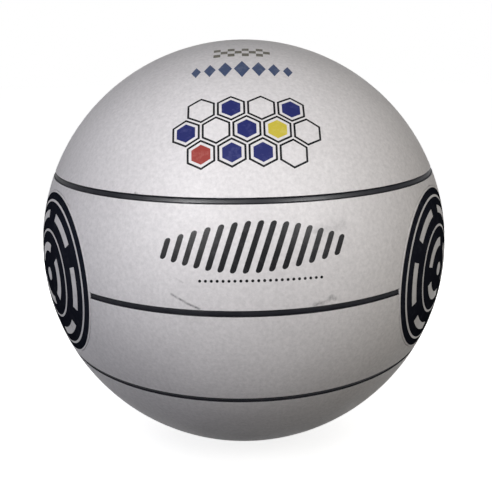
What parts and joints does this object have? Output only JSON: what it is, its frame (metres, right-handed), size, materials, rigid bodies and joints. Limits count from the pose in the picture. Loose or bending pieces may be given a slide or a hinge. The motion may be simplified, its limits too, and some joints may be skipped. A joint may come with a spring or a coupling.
{
  "type": "fistball",
  "caption": "Inflatable fistball: smooth light grey cover panels, dark seam ribs and round dark side discs over a wound carcass and bladder, with a needle valve whose plug pulls out.",
  "frame": {"origin": "centre of the ball", "axes": "+Z along the polar axis and out through the valve; -Y through the middle of the front field, between two side discs; +X to the right as the front is seen"},
  "size_m": [0.212, 0.212, 0.2119],
  "materials": {
    "cover_skin": "satin",
    "disc_skin": "satin",
    "seam_rubber": "satin",
    "carcass_rubber": "matte",
    "winding_yarn": "matte",
    "bladder_rubber": "satin",
    "patch_rubber": "matte",
    "housing_rubber": "matte",
    "plug_rubber": "satin",
    "print_charcoal": "satin",
    "print_navy": "satin",
    "print_grey": "satin",
    "print_silver": "satin",
    "print_yellow": "satin",
    "print_red": "satin"
  },
  "bodies": {
    "ball": {"north_cap_panel": "cover_skin", "south_cap_panel": "cover_skin", "upper_band_panel_1": "cover_skin", "upper_band_panel_2": "cover_skin", "upper_band_panel_3": "cover_skin", "lower_band_panel_1": "cover_skin", "lower_band_panel_2": "cover_skin", "lower_band_panel_3": "cover_skin", "side_disc_panel_1": "disc_skin", "side_disc_panel_2": "disc_skin", "side_disc_panel_3": "disc_skin", "upper_seam_rib": "seam_rubber", "lower_seam_rib": "seam_rubber", "equator_seam_rib_1": "seam_rubber", "equator_seam_rib_2": "seam_rubber", "equator_seam_rib_3": "seam_rubber", "rubber_carcass": "carcass_rubber", "nylon_winding": "winding_yarn", "bladder": "bladder_rubber", "valve_patch": "patch_rubber", "balance_patch": "patch_rubber", "valve_housing": "housing_rubber"},
    "plug": {"valve_plug": "plug_rubber"}
  },
  "joints": [
    {"name": "plug_pull", "type": "slide", "parent": "ball", "child": "plug", "axis": [0, 0, 1], "range_m": [0, 0.03]}
  ]
}
